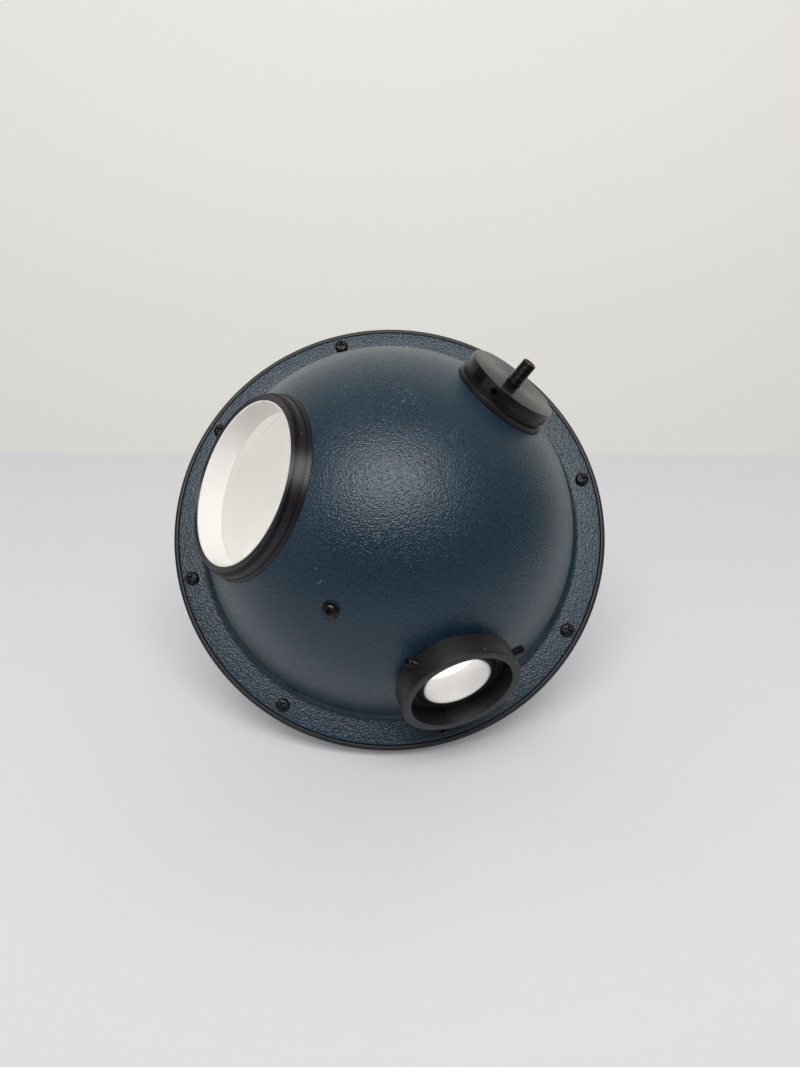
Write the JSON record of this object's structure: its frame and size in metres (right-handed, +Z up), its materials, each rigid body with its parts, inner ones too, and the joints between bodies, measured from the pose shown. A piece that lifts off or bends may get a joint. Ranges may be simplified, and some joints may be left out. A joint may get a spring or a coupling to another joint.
{
  "type": "integrating sphere",
  "caption": "Hollow two-part sphere with a bolted flange, white inside, for spectroscopy: wide sample port, collared detector port, plugged fibre port and an inner baffle.",
  "frame": {"origin": "on the bench, under the centre of the object's bounding box", "axes": "+Z up as the sphere rests on its flange rim and rear dome; the flange lies along X; the front half with its three ports faces -Y and up"},
  "size_m": [0.1968, 0.1756, 0.1666],
  "materials": {
    "blue_paint": "dark blue textured enamel on spun aluminium",
    "white_lining": "matte",
    "black_anodised": "satin",
    "black_steel": "satin",
    "brass_ferrule": "satin"
  },
  "bodies": {
    "sphere": {"front_shell": "blue_paint", "rear_shell": "blue_paint", "front_lining": "white_lining", "rear_lining": "white_lining", "flange_band": "black_anodised", "flange_screw_1": "black_steel", "flange_screw_2": "black_steel", "flange_screw_3": "black_steel", "flange_screw_4": "black_steel", "flange_screw_5": "black_steel", "flange_screw_6": "black_steel", "flange_screw_7": "black_steel", "flange_screw_8": "black_steel", "sample_port_frame": "black_anodised", "detector_port_frame": "black_anodised", "fiber_port_frame": "black_anodised", "baffle_blade": "white_lining", "baffle_washer": "black_steel", "baffle_screw": "black_steel", "baffle_nut": "black_steel", "mount_boss": "black_anodised"},
    "collar": {"detector_collar": "black_anodised"},
    "set_screw_1": {"detector_set_screw_1": "black_steel"},
    "set_screw_2": {"detector_set_screw_2": "black_steel"},
    "set_screw_3": {"detector_set_screw_3": "black_steel"},
    "plug": {"fiber_port_plug": "black_anodised", "fiber_plug_face": "white_lining"},
    "connector": {"fiber_connector": "black_steel", "fiber_connector_sleeve": "brass_ferrule"},
    "lock_screw": {"fiber_lock_screw": "black_steel"}
  },
  "joints": [
    {"name": "collar_pull", "type": "slide", "parent": "sphere", "child": "collar", "axis": [0.3165, -0.8769, -0.3618], "range_m": [0, 0.012]},
    {"name": "set_screw_1_travel", "type": "slide", "parent": "collar", "child": "set_screw_1", "axis": [-0.6688, -0.4767, 0.5704], "range_m": [0, 0.003]},
    {"name": "set_screw_2_travel", "type": "slide", "parent": "collar", "child": "set_screw_2", "axis": [-0.2482, 0.2916, -0.9238], "range_m": [0, 0.003]},
    {"name": "set_screw_3_travel", "type": "slide", "parent": "collar", "child": "set_screw_3", "axis": [0.917, 0.1851, 0.3534], "range_m": [0, 0.003]},
    {"name": "plug_pull", "type": "slide", "parent": "sphere", "child": "plug", "axis": [0.5815, -0.1211, 0.8045], "range_m": [0, 0.015]},
    {"name": "connector_travel", "type": "slide", "parent": "plug", "child": "connector", "axis": [0.5815, -0.1211, 0.8045], "range_m": [0, 0.012]},
    {"name": "lock_screw_travel", "type": "slide", "parent": "plug", "child": "lock_screw", "axis": [-0.4087, -0.8985, 0.1602], "range_m": [0, 0.004]}
  ]
}
